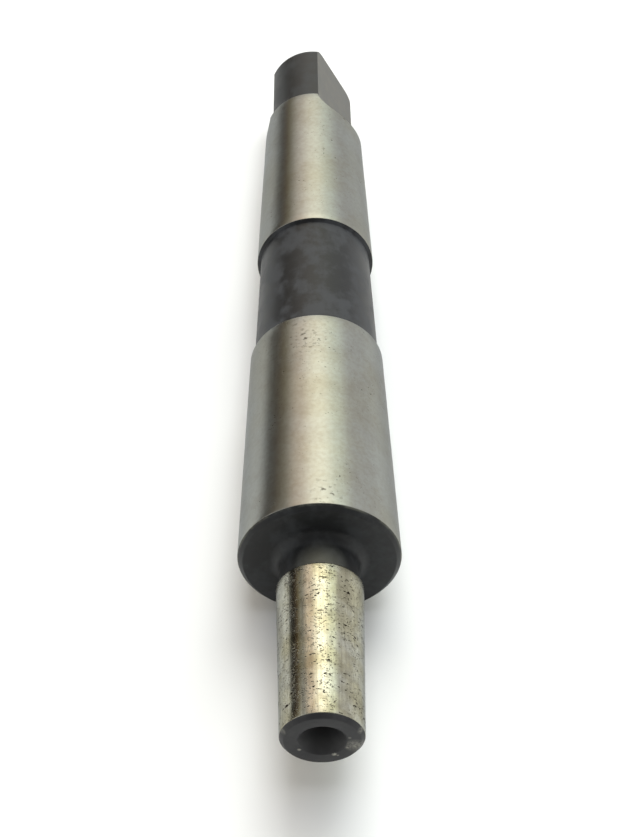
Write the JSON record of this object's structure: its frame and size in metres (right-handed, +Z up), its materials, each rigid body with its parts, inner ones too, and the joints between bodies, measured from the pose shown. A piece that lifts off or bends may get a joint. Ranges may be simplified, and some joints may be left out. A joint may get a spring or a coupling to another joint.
{
  "type": "drill chuck arbor",
  "caption": "Hardened steel arbor that joins a drill chuck to a machine spindle: Morse taper shank with a flatted tang, black shoulder and a short taper nose.",
  "frame": {"origin": "centre of the shank's gauge plane, where the Morse taper measures 12.065 mm across, 3.5 mm behind the shoulder face", "axes": "+Y along the arbor's axis from the nose to the tang, +Z up as it lies on a bench, and the normal of one tang flat 30 degrees above +X"},
  "size_m": [0.0122, 0.0809, 0.0122],
  "materials": {
    "arbor_steel": "satin ground tapers; black oxide on the shoulder, neck, nose end, relief and tang"
  },
  "bodies": {
    "root": {"arbor": "arbor_steel"}
  },
  "joints": []
}
